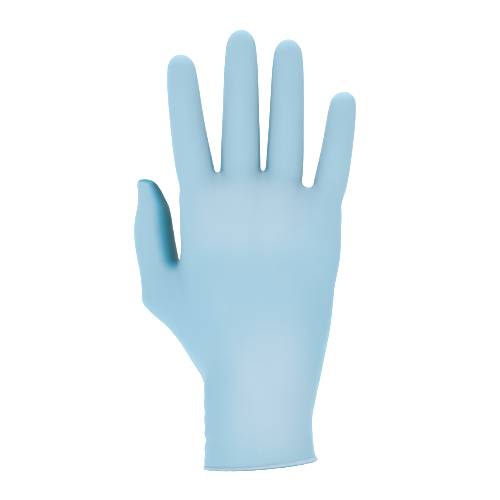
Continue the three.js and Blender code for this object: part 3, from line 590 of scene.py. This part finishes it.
class Net:
    """The film's coarse net: points, and four-sided faces that turn outwards."""

    def __init__(self, form):
        self.form = form
        self.points = np.empty((0, 3))
        self.faces = np.empty((0, 4), dtype=int)

    def add(self, points):
        """Adds points and gives their numbers."""
        first = len(self.points)
        self.points = np.concatenate([self.points, points.reshape(-1, 3)])
        return np.arange(first, len(self.points))

    def sheet(self, grid):
        """Adds the faces of a grid of point numbers, rows upwards."""
        faces = np.stack([grid[:-1, :-1], grid[:-1, 1:], grid[1:, 1:], grid[1:, :-1]], axis=-1)
        self.faces = np.concatenate([self.faces, faces.reshape(-1, 4)])

    def tube(self, rings):
        """Adds the faces of a tube of rings, given as rows of point numbers all the way round."""
        grid = np.array(rings)
        self.sheet(np.concatenate([grid, grid[:, :1]], axis=1))

    def level_rows(self, stalls, spine, heights, turns=0.0):
        """Rows of points cast level from a spine: a function of height and place across."""
        across, angle = places_of(stalls)
        start = spine(heights, across)
        return self.form.cast(start, level_direction(angle + turns + 0 * heights))

    def web(self, x, y, z):
        """The points along the bottom of a web, from back to palm.

        A fan of directions leaves a row of points side by side under the web. In each direction
        the nearest skin that any of them meets is the valley's bottom.
        """
        angle = np.linspace(-WEB_SPREAD, WEB_SPREAD, SIDE_COLUMNS + 1)
        direction = np.stack([0 * angle, np.sin(angle), np.cos(angle)], axis=-1)[:, None]
        side = WEB_SEARCH * self.form.size[0] * np.linspace(-1, 1, WEB_TRIES)
        start = np.stack([x + side, y + 0 * side, z - WEB_DROP * self.form.size[1] + 0 * side], axis=-1)
        skin = self.form.cast(start, direction)
        far = np.linalg.norm(skin - start, axis=-1)
        far = np.where(self.form.distance(start) < -self.form.sizes.seat, far, np.inf)
        return self.add(skin[np.arange(len(angle)), far.argmin(axis=1)])

    def ring_under(self, stalls, groups, webs, spine, heights):
        """The ring just under some webs, whose ends are corners of it."""
        across, _ = places_of(stalls)
        level = np.interp(across, np.linspace(0, 1, len(heights)), heights)
        loop = self.level_rows(stalls, spine, level[None])[0]
        ring = ring_from(np.arange(len(loop)), stalls)
        taken = {}
        for column, web in zip(np.cumsum(groups[:-1]) * STALL_COLUMNS, webs):
            taken[ring["back"][column]] = web[0]
            taken[ring["palm"][column]] = web[-1]
        free = np.setdiff1d(np.arange(len(loop)), list(taken))
        numbers = np.empty(len(loop), dtype=int)
        numbers[free] = self.add(loop[free])
        numbers[list(taken)] = list(taken.values())
        return ring_from(numbers, stalls)

    def bridge(self, lower, upper, stalls, rows, spine):
        """Rows of faces between two rings that are there already."""
        low, high = (self.points[loop_of(ring)][:, 2] for ring in (lower, upper))
        share = np.arange(1, rows)[:, None] / rows
        grid = self.level_rows(stalls, spine, low + (high - low) * share)
        numbers = self.add(grid).reshape(grid.shape[:2])
        self.tube([loop_of(lower), *numbers, loop_of(upper)])

    def stall(self, base, middle_at, foot, tall, straight):
        """Carries one stall up from its web's ring and closes its tip.

        Its rows start at the ring's own heights and directions and even out towards the top. The
        tip is half a ball of rows, closed by a patch of faces.
        """
        across, angle = places_of(1)
        start = self.points[loop_of(base)]
        x, y = middle_at(start[:, 2])
        turn = np.arctan2(start[:, 0] - x, y - start[:, 1]) - angle
        turn = np.arctan2(np.sin(turn), np.cos(turn))
        top = foot + straight * tall

        def spine(z, _):
            return np.stack(np.broadcast_arrays(*middle_at(z), z), axis=-1)

        share = np.arange(1, STALL_ROWS + 1)[:, None] / STALL_ROWS
        heights = start[:, 2] + (top - start[:, 2]) * share ** ROW_CROWDING
        rows = self.level_rows(1, spine, heights, turn * (1 - share))
        centre = spine(np.array(top), None)
        rise = np.arange(1, OPEN_TIP_ROWS + 1)[:, None] / TIP_ROWS * np.pi / 2
        upwards = np.array([0.0, 0.0, 1.0])
        out = level_direction(angle)[None] * np.cos(rise)[..., None] + upwards * np.sin(rise)[..., None]
        rows = np.concatenate([rows, self.form.cast(centre, out)])
        numbers = self.add(rows).reshape(rows.shape[:2])
        self.tube([loop_of(base), *numbers])
        self.patch(ring_from(numbers[-1], 1), centre)

    def patch(self, ring, centre):
        """Closes a ring of one stall with a grid of faces.

        Its inner points lie in the directions, from centre, of the surface that blends the ring's
        four runs: the two ruled surfaces' sum, less the one through the corners.
        """
        left = np.concatenate([ring["back"][:1], ring["left"], ring["palm"][:1]])
        right = np.concatenate([ring["back"][-1:], ring["right"], ring["palm"][-1:]])
        u = np.linspace(0, 1, STALL_COLUMNS + 1)[None, :, None]
        v = np.linspace(0, 1, SIDE_COLUMNS + 1)[:, None, None]
        back, palm = self.points[ring["back"]][None], self.points[ring["palm"]][None]
        sides = [self.points[left][:, None], self.points[right][:, None]]
        corners = [side[0] * (1 - v) + side[-1] * v for side in sides]
        blend = back * (1 - v) + palm * v + (sides[0] - corners[0]) * (1 - u) + (sides[1] - corners[1]) * u
        out = blend[1:-1, 1:-1] - centre
        skin = self.form.cast(centre, out / np.linalg.norm(out, axis=-1, keepdims=True))
        grid = np.empty((SIDE_COLUMNS + 1, STALL_COLUMNS + 1), dtype=int)
        grid[0], grid[-1], grid[:, 0], grid[:, -1] = ring["back"], ring["palm"], left, right
        grid[1:-1, 1:-1] = self.add(skin).reshape(skin.shape[:2])
        self.sheet(grid)


def divide(ring, groups, webs):
    """Divides a ring into one for each group of stalls, with a web between neighbours."""
    made = []
    column = 0
    for i, stalls in enumerate(groups):
        end = column + stalls * STALL_COLUMNS
        made.append(dict(
            back=ring["back"][column:end + 1],
            palm=ring["palm"][column:end + 1],
            left=ring["left"] if i == 0 else webs[i - 1][1:-1],
            right=ring["right"] if i == len(groups) - 1 else webs[i][1:-1],
        ))
        column = end
    return made


def edges_of(faces):
    """Each edge of four-sided faces once, as pairs of point numbers, and how many faces use it."""
    pairs = np.stack([faces, np.roll(faces, -1, axis=1)], axis=-1).reshape(-1, 2)
    return np.unique(np.sort(pairs, axis=1), axis=0, return_counts=True)


def relax(form, points, faces, fixed, passes, nearest, pulls):
    """Evens out points on the skin.

    In each pass a point goes halfway to the mean of its neighbours, each weighed by one over its
    distance, and is pulled back to the skin. A distance counts as nearest to four times nearest.
    """
    edges, _ = edges_of(faces)
    a, b = np.concatenate([edges, edges[:, ::-1]]).T
    spans = np.linalg.norm(points[a] - points[b], axis=1)
    weights = 1 / np.clip(spans, nearest, 4 * nearest)
    total = np.bincount(a, weights, len(points))[:, None]
    free = np.ones(len(points), dtype=bool)
    free[fixed] = False
    for _ in range(passes):
        sums = [np.bincount(a, weights * points[b, axis], len(points)) for axis in range(3)]
        mean = np.stack(sums, axis=1) / total
        points = points.copy()
        points[free] = form.pull((points[free] + mean[free]) / 2, pulls)
    return points


def bead_radius(sizes, x):
    """Radius of the roll: it grows from the thumb's side to the little finger's."""
    share = smooth_step(x / sizes.cuff_breadth, *BEAD_GROWS)
    return (sizes.thin_bead + (sizes.bead - sizes.thin_bead) * share) / 2


def mouth_height(sizes, x):
    """Height of the mouth's lowest line: a parabola that climbs to the little finger's side."""
    return sizes.mouth_rise * ((0.5 + x / sizes.cuff_breadth) ** 2 - 0.25)


def coarse_net(form):
    """The whole film as a coarse net: a tube that parts at each web, up to the five tips."""
    sizes = form.sizes
    breadth, _, tall = form.size
    web_height = form.thumb_web
    fingers = form.fingers
    singly = [1] * len(fingers)
    stalls = len(fingers) + 1
    web_sides = [
        ((a["root"] + b["root"]) / 2 + (a["width"] - b["width"]) / 4) * breadth
        for a, b in zip(fingers, fingers[1:])
    ]
    over = web_height + THUMB_FILLET
    thumb, hand = form.thumb_section(over), form.hand_section(over)
    gap = float(thumb["x"] + thumb["right"] - hand["left"]) / 2

    def hand_spine(z):
        """The left and right ends of the hand's inner line."""
        s = form.hand_section(z)
        inset = SPINE_INSET * (s["back"] + s["palm"])
        return -s["left"] + inset, s["right"] - inset

    def lower_spine(z, across):
        """Below the thumb's web: the hand's inner line, which parts towards the stalls."""
        share = smooth_step(z, SPLAY_FROM * tall, web_height)
        low_left, low_right = hand_spine(z)
        thumb = form.thumb_section(z)
        low = low_left + (low_right - low_left) * across
        stations = [thumb["x"], gap + 0 * z, *(x + 0 * z for x in web_sides), low_right]
        place = across * (len(stations) - 1)
        i = np.minimum(place.astype(int), len(stations) - 2)
        stack = np.stack(np.broadcast_arrays(*stations))
        pick = np.broadcast_to(i, stack.shape[1:])[None]
        here, there = (np.take_along_axis(stack, pick + k, 0)[0] for k in (0, 1))
        high = here + (there - here) * (place - i)
        lean = np.maximum(1 - across * stalls, 0)
        return np.stack([low + (high - low) * share, thumb["y"] * lean * share, z], axis=-1)

    def upper_spine(z, across):
        """Above it: the hand's inner line, which bends at the fingers' webs."""
        left, right = hand_spine(np.minimum(z, HAND_SECTIONS.ends[1] * tall))
        place = across * len(fingers)
        inner = np.interp(across, np.arange(1, len(fingers)) / len(fingers), web_sides)
        x = np.where(place < 1, left + (web_sides[0] - left) * place, inner)
        x = np.where(place > len(fingers) - 1, right + (web_sides[-1] - right) * (len(fingers) - place), x)
        return np.stack([x, 0 * z, z], axis=-1)

    net = Net(form)
    across, angle = places_of(stalls)
    mouth = form.cast(lower_spine(0 * across, across), level_direction(angle))
    mouth[:, 2] = sizes.bead + mouth_height(sizes, mouth[:, 0])
    mouth_ring = ring_from(net.add(mouth), stalls)
    thumb_web = net.web(gap, float(form.thumb_section(web_height)["y"]) * THUMB_WEB_PALM, web_height)
    finger_webs = [net.web(x, 0, float(tall - form.web_fall(x))) for x in web_sides]

    corner = [float(net.points[web[0], 2]) for web in finger_webs]
    heights = [corner[0] - EDGE_DROP * tall, *corner, corner[-1] - EDGE_DROP * tall]
    web_corner = float(net.points[thumb_web[0], 2])
    thumb_and_palm = [1, len(fingers)]
    thumb_ring = net.ring_under(stalls, thumb_and_palm, [thumb_web], lower_spine, [web_corner] * 2)
    knuckle_ring = net.ring_under(len(fingers), singly, finger_webs, upper_spine, heights)

    net.bridge(mouth_ring, thumb_ring, stalls, HAND_ROWS, lower_spine)
    thumb_base, palm_base = divide(thumb_ring, thumb_and_palm, [thumb_web])
    net.bridge(palm_base, knuckle_ring, len(fingers), KNUCKLE_ROWS, upper_spine)

    def thumb_middle(z):
        """The thumb's middle line."""
        s = form.thumb_section(z)
        return s["x"], s["y"]

    net.stall(thumb_base, thumb_middle, web_height, sizes.thumb_length, THUMB_SECTIONS.ends[1])
    for base, finger in zip(divide(knuckle_ring, singly, finger_webs), fingers):
        middle = partial(form.finger_middle, finger)
        net.stall(base, middle, finger["foot"] * tall, finger["length"], FINGER_SECTIONS.ends[1])
    fixed = np.concatenate([loop_of(mouth_ring), thumb_web, *finger_webs])
    net.points = relax(form, net.points, net.faces, fixed, RELAX_PASSES, COARSE_SPAN, PULLS)
    return net


def mesh_from(name, points, faces, tones=None):
    """A mesh object with smooth faces, at the origin, with a number per point under each tone's name."""
    mesh = bpy.data.meshes.new(name)
    mesh.from_pydata(points.tolist(), [], faces.tolist())
    mesh.shade_smooth()
    for tone, values in (tones or {}).items():
        mesh.attributes.new(tone, "FLOAT", "POINT").data.foreach_set("value", values)
    piece = bpy.data.objects.new(name, mesh)
    bpy.context.scene.collection.objects.link(piece)
    return piece


def divide_finer(net):
    """The net divided by Catmull and Clark's rule, as points and faces."""
    draft = mesh_from("net", net.points, net.faces)
    finer = draft.modifiers.new("Finer", "SUBSURF")
    finer.levels = FINE_LEVELS
    finer.render_levels = FINE_LEVELS
    fine = bpy.data.meshes.new_from_object(draft.evaluated_get(bpy.context.evaluated_depsgraph_get()))
    points = np.empty(len(fine.vertices) * 3)
    fine.vertices.foreach_get("co", points)
    faces = np.empty(len(fine.polygons) * 4, dtype=int)
    fine.polygons.foreach_get("vertices", faces)
    for used in (draft.data, fine):
        bpy.data.meshes.remove(used)
    return points.reshape(-1, 3), faces.reshape(-1, 4)


def rim_of(points, faces):
    """The points of the open edge, in order round the mouth."""
    edges, uses = edges_of(faces)
    rim = np.unique(edges[uses == 1])
    return rim[np.argsort(np.arctan2(points[rim, 1], points[rim, 0]))]


def film_surface(form):
    """The film's outer face, fine and even, with its open edge's point numbers in order."""
    sizes = form.sizes
    points, faces = divide_finer(coarse_net(form))
    rim = rim_of(points, faces)
    points = form.pull(points)
    points = relax(form, points, faces, rim, FINE_PASSES, FINE_SPAN, 1)
    points[rim, 2] = sizes.bead + mouth_height(sizes, points[rim, 0])
    return points, faces, rim


def cuff_folds(sizes, points):
    """How far the cuff's folds move the skin outwards.

    Each fold on the thumb's side is a bell curve in height times one round the cuff, taken off. The
    gathers are a sine round the cuff that dies away upwards. Both are nothing at the rim. The flare
    onto the bead dies away upwards too, and grows to the little finger's side.
    """
    x, y = points[:, 0], points[:, 1]
    over = points[:, 2] - mouth_height(sizes, x) - sizes.bead
    turn = np.arctan2(y, -x)
    side = np.exp(-(turn / FOLD_SPREAD) ** 2)
    moved = np.zeros(len(points))
    for height, depth, tall in CUFF_FOLDS:
        moved -= depth * side * np.exp(-((over - height - FOLD_SLANT * turn) / tall) ** 2)
    drift, often = FLUTE_DRIFT
    wave = np.sin(FLUTES * turn + drift * np.sin(often * turn))
    moved += FLUTE_DEPTH * wave * np.exp(-np.maximum(over, 0) / FLUTE_TALL)
    flare = FLARE * smooth_step(x / sizes.cuff_breadth, *FLARE_GROWS)
    return moved * smooth_step(over, 0, RIM_CALM) + flare * np.exp(-np.maximum(over, 0) / FLARE_TALL)


def film_tones(form, points, normals):
    """How much shade is painted into the film at each point, and how stretched it is, from 0 to 1.

    Shade is painted where other parts of the skin lie close in front of it, as in the webs, over the
    thumb's inner side and its end, and a little along the sides of the cuff and the hand, where it is
    partly the film's own deeper colour. It is stretched over the knuckles and over the wrist.
    """
    room = form.distance(points + normals * PROBE) / PROBE
    # painted shade in the webs: darker where other skin lies close in front of the skin
    slack = WEB_PAINTED_SHADE * smooth_step(1 - room, *WEB_CLOSED)
    x, height = points[:, 0], points[:, 2]
    # painted shade towards both sides of the cuff and the hand, partly the film's own deeper colour there
    hand = form.hand_section(np.minimum(height, HAND_SECTIONS.ends[1] * form.size[2]))
    aside = np.abs(x) / np.where(x < 0, hand["left"], hand["right"])
    low = 1 - smooth_step(height / form.size[2], *SIDE_ENDS)
    slack = np.maximum(slack, SIDE_PAINTED_SHADE * low * smooth_step(aside, *SIDE_ACROSS))
    # painted shade over the thumb's inner side and along its end, where the thumb lies in shade
    thumb = form.thumb_section(height)
    across = (x - thumb["x"]) / thumb["right"]
    on_thumb = 1 - smooth_step(np.abs(form.thumb(points)), *THUMB_SKIN)
    on_thumb *= smooth_step(height - form.thumb_web, *THUMB_RISE)
    on_thumb *= 1 - smooth_step(across, *THUMB_PAST)
    end = THUMB_END_PAINTED_SHADE * smooth_step(normals[:, 2], *THUMB_END)
    slack = np.maximum(slack, on_thumb * np.maximum(smooth_step(across, *THUMB_INNER), end))
    stretched = np.zeros(len(points))
    for area in STRETCHES:
        u = (x / form.size[0] - area["side"]) / area["wide"]
        w = (height / form.size[2] - area["up"]) / area["tall"]
        stretched += area["much"] * np.exp(-(u ** 4) - w ** 4)
    return dict(slack=slack, stretched=np.clip(stretched, 0, 1))


def close_film(sizes, points, faces, rim, normals):
    """The closed film: the outer face, the inner face a film's thickness in, and a rim in the bead.

    The inner face is the outer one moved back along its normals, with its faces turned round.
    """
    inner = points - normals * sizes.film
    count = len(points)
    drop = np.zeros((len(rim), 3))
    drop[:, 2] = sizes.bead - bead_radius(sizes, points[rim, 0])
    lower = np.concatenate([points[rim] - drop, inner[rim] - drop])
    outer_edge = np.arange(len(rim)) + 2 * count
    inner_edge = outer_edge + len(rim)

    def band(low, high):
        """A ring of faces between two loops of points."""
        return np.stack([low, np.roll(low, -1), np.roll(high, -1), high], axis=1)

    sides = [band(outer_edge, rim), band(rim + count, inner_edge), band(inner_edge, outer_edge)]
    return np.concatenate([points, inner, lower]), np.concatenate([faces, faces[:, ::-1] + count, *sides])


class Shader:
    """Adds nodes to a material's tree and joins them."""

    def __init__(self, name):
        self.material = bpy.data.materials.new(name)
        self.material.use_nodes = True
        self.tree = self.material.node_tree
        self.surface = self.tree.nodes["Principled BSDF"]

    def node(self, kind, settings=None, **inputs):
        """A node with its settings and inputs: an input is a number, a colour or a socket."""
        made = self.tree.nodes.new("ShaderNode" + kind)
        for key, value in (settings or {}).items():
            setattr(made, key, value)
        for key, value in inputs.items():
            self.join(made.inputs[key.replace("_", " ")], value)
        return made

    def join(self, socket, value):
        """Links a socket to another, or sets it."""
        if isinstance(value, bpy.types.NodeSocket):
            self.tree.links.new(value, socket)
        else:
            socket.default_value = value

    def tone(self, name):
        """The number that the piece carries under this name."""
        return self.node("Attribute", dict(attribute_name=name)).outputs["Fac"]

    def noise(self, scale, stretch=(1, 1, 1), detail=2.0):
        """Cloudy noise in the object's own space. scale is in periods per metre."""
        place = self.node("TexCoord").outputs["Object"]
        place = self.node("Mapping", Vector=place, Scale=stretch).outputs["Vector"]
        return self.node("TexNoise", Vector=place, Scale=scale, Detail=detail).outputs["Fac"]

    def spread(self, value, low, high):
        """A noise value carried from about its middle half to between low and high."""
        return self.node(
            "MapRange", Value=value, From_Min=NOISE_SPAN[0], From_Max=NOISE_SPAN[1], To_Min=low, To_Max=high,
        ).outputs["Result"]

    def maths(self, operation, a, b):
        """The outcome of one operation on two numbers."""
        made = self.node("Math", dict(operation=operation))
        self.join(made.inputs[0], a)
        self.join(made.inputs[1], b)
        return made.outputs["Value"]

    def mix(self, share, a, b):
        """Colour a at share 0 and colour b at share 1."""
        made = self.node("Mix", dict(data_type="RGBA"))
        self.join(made.inputs["Factor"], share)
        for name, colour_in in (("A", a), ("B", b)):
            sockets = [socket for socket in made.inputs if socket.name == name and socket.type == "RGBA"]
            self.join(sockets[0], colour_in)
        return next(socket for socket in made.outputs if socket.type == "RGBA")


def film_material(finish):
    """Satin blue nitrile: paler where it is stretched and on the bead's face, where the paleness is painted
    light, deeper where shade is painted in, with faint streaks.
    """
    shader = Shader("nitrile_film")
    cloud = shader.spread(shader.noise(**CLOUD), -CLOUD_TONE, CLOUD_TONE)
    # paler where the film is stretched and on the bead's face, whose paleness is painted light, with a cloudy
    # tone at random
    stretched = shader.maths("ADD", shader.tone("stretched"), cloud)
    skin = shader.mix(stretched, (*finish.plain, 1), (*finish.stretched, 1))
    # painted shade: the film goes over to the first shade colour, then to the deep one, as the painted shade
    # grows
    slack = shader.tone("slack")
    for low, deeper in ((0.0, finish.slack), (0.5, finish.deep)):
        share = shader.node("MapRange", Value=slack, From_Min=low, From_Max=low + 0.5).outputs["Result"]
        skin = shader.mix(share, skin, (*deeper, 1))
    rough = shader.spread(shader.noise(**PATCHES), finish.roughness - SMOOTHER, finish.roughness + ROUGHER)
    drips = shader.maths("MULTIPLY", shader.noise(**DRIPS), DRIPS_SHARE)
    grain = shader.maths("MULTIPLY", shader.noise(**GRAIN), GRAIN_SHARE)
    height = shader.maths("ADD", shader.maths("ADD", shader.noise(**RIPPLE), drips), grain)
    bump = shader.node("Bump", Height=height, **BUMP).outputs["Normal"]
    inputs = {
        "Base Color": skin, "Roughness": rough, "Normal": bump,
        "Specular IOR Level": SPECULAR, "IOR": REFRACTION,
    }
    for name, value in inputs.items():
        shader.join(shader.surface.inputs[name], value)
    return shader.material


def dress(piece, material):
    """Gives a piece its material and its place in the frame."""
    piece.data.materials.append(material)
    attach(piece, "root")
    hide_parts("glove")


class GLOVE_OT_film(bpy.types.Operator):
    """Builds the dipped film, from the cuff to the five fingertips"""

    bl_idname = "glove.film"
    bl_label = "Film"

    def execute(self, context):
        form = Form(context.scene.glove_sizes)
        points, faces, rim = film_surface(form)
        slope = form.slope(points)
        normals = slope / np.linalg.norm(slope, axis=1, keepdims=True)
        tones = film_tones(form, points, normals)
        points = points + normals * cuff_folds(form.sizes, points)[:, None]
        points, faces = close_film(form.sizes, points, faces, rim, normals)
        tones = {name: np.concatenate([tone, tone, tone[rim], tone[rim]]) for name, tone in tones.items()}
        piece = mesh_from("glove_film", points, faces, tones)
        dress(piece, film_material(context.scene.glove_finish))
        return {"FINISHED"}


class GLOVE_OT_bead(bpy.types.Operator):
    """Builds the rolled bead round the mouth"""

    bl_idname = "glove.bead"
    bl_label = "Rolled bead"

    def execute(self, context):
        points, faces = bead_surface(Form(context.scene.glove_sizes))
        # painted shadow under the roll, and its upper and outer face painted pale as painted light
        down = np.tile(-np.sin(BEAD_TURN), BEAD_STEPS)
        tones = dict(slack=smooth_step(down, *BEAD_UNDER), stretched=1 - smooth_step(down, *BEAD_FACE))
        piece = mesh_from("rolled_bead", points, faces, tones)
        dress(piece, bpy.data.materials["nitrile_film"])
        return {"FINISHED"}


def bead_surface(form):
    """A round roll carried along the mouth, a little uneven.

    The path is the film's lower edge, moved out by the roll's radius less its seat. Each point of
    the surface is the path's point plus the radius times the cosine of the roll's angle outwards
    and its sine upwards. The radius grows to the little finger's side, and sines of the way round
    make it uneven.
    """
    sizes = form.sizes
    angle = np.linspace(0, 2 * np.pi, PATH_STEPS + 1)[:-1]
    ring = form.cast(np.zeros((len(angle), 3)), level_direction(angle))[:, :2]
    closed = np.concatenate([ring, ring[:1]])
    run = np.concatenate([[0], np.cumsum(np.linalg.norm(np.diff(closed, axis=0), axis=1))])
    even = np.arange(BEAD_STEPS) / BEAD_STEPS * run[-1]
    path = np.stack([np.interp(even, run, closed[:, k]) for k in (0, 1)], axis=1)
    ahead = np.roll(path, -1, axis=0) - np.roll(path, 1, axis=0)
    out = np.stack([ahead[:, 1], -ahead[:, 0]], axis=1)
    out /= np.linalg.norm(out, axis=1, keepdims=True)
    radius = bead_radius(sizes, path[:, 0])
    middle = path + out * (radius - sizes.seat)[:, None]
    height = mouth_height(sizes, path[:, 0]) + radius
    way = np.arange(BEAD_STEPS)[:, None] / BEAD_STEPS * 2 * np.pi
    uneven = sum(np.sin(a * way + b * BEAD_TURN + shift) for a, b, shift in BEAD_WAVES)
    local = radius[:, None] * (1 + BEAD_UNEVEN * uneven / len(BEAD_WAVES))
    across = middle[:, None] + out[:, None] * (local * np.cos(BEAD_TURN))[..., None]
    up = height[:, None] + local * np.sin(BEAD_TURN)
    points = np.concatenate([across, up[..., None]], axis=-1).reshape(-1, 3)
    grid = np.arange(BEAD_STEPS * BEAD_SIDES).reshape(BEAD_STEPS, BEAD_SIDES)
    next_step, next_side = np.roll(grid, -1, axis=0), np.roll(grid, -1, axis=1)
    faces = np.stack([grid, next_step, np.roll(next_step, -1, axis=1), next_side], axis=-1)
    return points, faces.reshape(-1, 4)


def soft_light(name, place, aim, size, power):
    """A square area light turned to a point."""
    data = bpy.data.lights.new(name, "AREA")
    data.shape = "RECTANGLE"
    data.size, data.size_y = size
    data.energy = power
    lamp = bpy.data.objects.new(name, data)
    bpy.context.scene.collection.objects.link(lamp)
    away = np.array(place) - np.array(aim)
    lamp.location = place
    tilt = math.atan2(math.hypot(away[0], away[1]), away[2])
    lamp.rotation_euler = (tilt, 0, math.atan2(away[0], -away[1]))


class GLOVE_OT_studio(bpy.types.Operator):
    """Sets up the floor with its sweep, the lights and the camera"""

    bl_idname = "glove.studio"
    bl_label = "Studio"

    def execute(self, context):
        studio = context.scene.glove_studio
        scene = context.scene
        aim = (studio.aim_x, 0.0, studio.aim_z)
        rise = np.linspace(0, np.pi / 2, SWEEP_STEPS)
        bend = [SWEEP_REACH + SWEEP_RADIUS * np.sin(rise), SWEEP_RADIUS - SWEEP_RADIUS * np.cos(rise)]
        profile = [[SWEEP_FRONT, 0.0], *np.stack(bend, axis=1), [SWEEP_REACH + SWEEP_RADIUS, SWEEP_TOP]]
        points = np.array([[x, y, z - studio.drop] for y, z in profile for x in (-SWEEP_HALF, SWEEP_HALF)])
        grid = np.arange(len(points)).reshape(-1, 2)
        faces = np.stack([grid[:-1, 0], grid[:-1, 1], grid[1:, 1], grid[1:, 0]], axis=1)
        sweep = mesh_from("paper_sweep", points, faces)
        paper = bpy.data.materials.new("paper")
        paper.use_nodes = True
        shader = paper.node_tree.nodes["Principled BSDF"]
        shader.inputs["Base Color"].default_value = (*studio.paper, 1)
        shader.inputs["Roughness"].default_value = PAPER_ROUGHNESS
        sweep.data.materials.append(paper)

        for lamp in LAMPS:
            at = lamp["aim"] or aim
            soft_light(lamp["name"], lamp["place"], at, lamp["size"], getattr(studio, lamp["name"]))
        world = bpy.data.worlds.new("room")
        world.use_nodes = True
        background = world.node_tree.nodes["Background"]
        background.inputs["Color"].default_value = (1, 1, 1, 1)
        background.inputs["Strength"].default_value = studio.sky
        scene.world = world

        camera = bpy.data.cameras.new("camera")
        camera.lens = camera.sensor_width * studio.distance / studio.view_width
        camera.clip_end = CAMERA_SIGHT
        eye = bpy.data.objects.new("camera", camera)
        scene.collection.objects.link(eye)
        eye.location = (aim[0], -studio.distance, aim[2])
        eye.rotation_euler = (math.pi / 2, 0, 0)
        scene.camera = eye
        scene.view_settings.view_transform = "Standard"
        return {"FINISHED"}


class GLOVE_PT_panel(bpy.types.Panel):
    """Lists the glove's pieces and its sizes"""

    bl_label = "Nitrile Exam Glove"
    bl_space_type = "VIEW_3D"
    bl_region_type = "UI"
    bl_category = "Glove"

    def draw(self, context):
        for operator in (GLOVE_OT_film, GLOVE_OT_bead, GLOVE_OT_studio):
            self.layout.operator(operator.bl_idname)
        for group in (context.scene.glove_sizes, context.scene.glove_finish, context.scene.glove_studio):
            box = self.layout.box()
            for name in group.__annotations__:
                box.prop(group, name)


GROUPS = dict(glove_sizes=GloveSizes, glove_finish=GloveFinish, glove_studio=StudioSettings)
CLASSES = (*GROUPS.values(), GLOVE_OT_film, GLOVE_OT_bead, GLOVE_OT_studio, GLOVE_PT_panel)


def register():
    """Registers the classes and gives every scene its three groups of settings."""
    for cls in CLASSES:
        bpy.utils.register_class(cls)
    for name, group in GROUPS.items():
        setattr(bpy.types.Scene, name, PointerProperty(type=group))


def unregister():
    """Undoes what register does."""
    for name in GROUPS:
        delattr(bpy.types.Scene, name)
    for cls in reversed(CLASSES):
        bpy.utils.unregister_class(cls)


def main():
    register()
    bpy.ops.glove.film()
    bpy.ops.glove.bead()
    bpy.ops.glove.studio()


if __name__ == "__main__":
    main()
